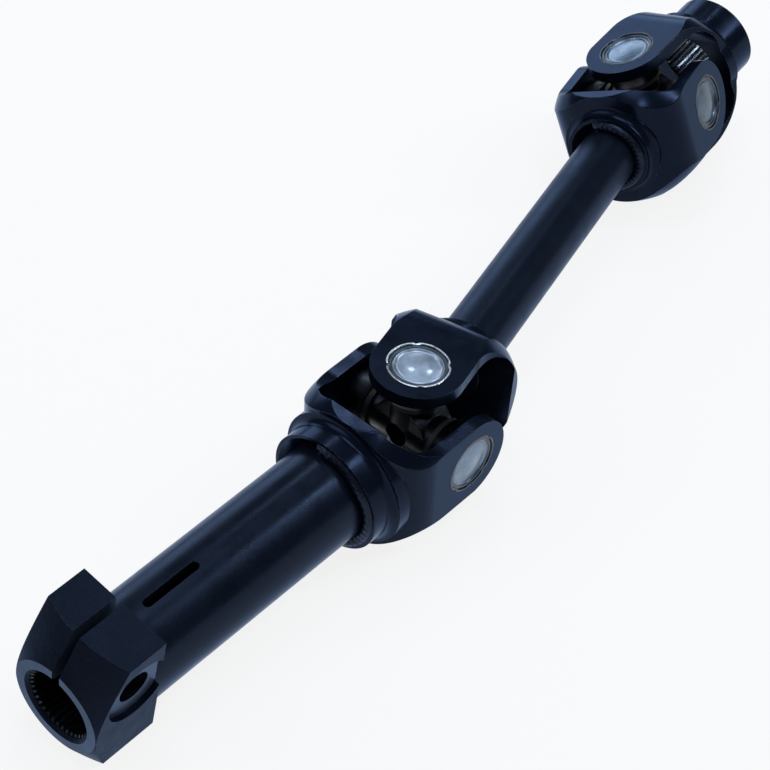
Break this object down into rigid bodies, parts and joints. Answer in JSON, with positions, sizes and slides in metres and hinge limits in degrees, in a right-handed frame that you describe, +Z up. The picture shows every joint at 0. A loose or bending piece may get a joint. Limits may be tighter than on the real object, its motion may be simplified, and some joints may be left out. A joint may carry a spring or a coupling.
{
  "type": "steering shaft",
  "caption": "Intermediate steering shaft: slit clamp head on a tube, joined through universal joints to a rod and a bored hub.",
  "frame": {"origin": "on the ground, under the middle of the whole shaft as it lies", "axes": "+Z up, +X along the longest extent, with the clamp head towards -X"},
  "size_m": [0.3064, 0.0634, 0.0458],
  "materials": {
    "paint": "satin",
    "weld_paint": "satin",
    "cap_steel": "satin",
    "roller_steel": "polished",
    "cross_steel": "satin",
    "seal_rubber": "matte"
  },
  "bodies": {
    "gear_side": {"clamp_head": "paint", "steering_tube": "paint", "tube_yoke": "paint", "tube_weld": "weld_paint", "lower_cup_1": "cap_steel", "lower_rollers_1": "roller_steel", "lower_seal_1": "seal_rubber", "lower_cup_2": "cap_steel", "lower_rollers_2": "roller_steel", "lower_seal_2": "seal_rubber"},
    "lower_spider": {"lower_cross": "cross_steel"},
    "middle": {"rod_yoke_lower": "paint", "rod_weld_lower": "weld_paint", "drive_rod": "paint", "rod_yoke_upper": "paint", "rod_weld_upper": "weld_paint", "lower_cup_3": "cap_steel", "lower_rollers_3": "roller_steel", "lower_seal_3": "seal_rubber", "lower_cup_4": "cap_steel", "lower_rollers_4": "roller_steel", "lower_seal_4": "seal_rubber", "upper_cup_1": "cap_steel", "upper_rollers_1": "roller_steel", "upper_seal_1": "seal_rubber", "upper_cup_2": "cap_steel", "upper_rollers_2": "roller_steel", "upper_seal_2": "seal_rubber"},
    "upper_spider": {"upper_cross": "cross_steel"},
    "column_side": {"hub_yoke": "paint", "upper_cup_3": "cap_steel", "upper_rollers_3": "roller_steel", "upper_seal_3": "seal_rubber", "upper_cup_4": "cap_steel", "upper_rollers_4": "roller_steel", "upper_seal_4": "seal_rubber"}
  },
  "joints": [
    {"name": "lower_yoke_pivot", "type": "hinge", "parent": "gear_side", "child": "lower_spider", "pos_m": [-0.03478, -0.0106, 0.02084], "axis": [-0.1313, -0.9854, -0.108], "range_deg": [-21.22, 28.78]},
    {"name": "lower_spider_pivot", "type": "hinge", "parent": "lower_spider", "child": "middle", "pos_m": [-0.03478, -0.0106, 0.02084], "axis": [-0.0057, 0.1097, -0.9939], "range_deg": [-9.85, 40.15]},
    {"name": "upper_yoke_pivot", "type": "hinge", "parent": "middle", "child": "upper_spider", "pos_m": [0.11588, 0.00949, 0.0222], "axis": [0.1228, -0.9422, 0.3117], "range_deg": [-30.7, 19.3]},
    {"name": "upper_spider_pivot", "type": "hinge", "parent": "upper_spider", "child": "column_side", "pos_m": [0.11588, 0.00949, 0.0222], "axis": [0.1478, -0.2932, -0.9446], "range_deg": [-40.4, 9.6]}
  ]
}
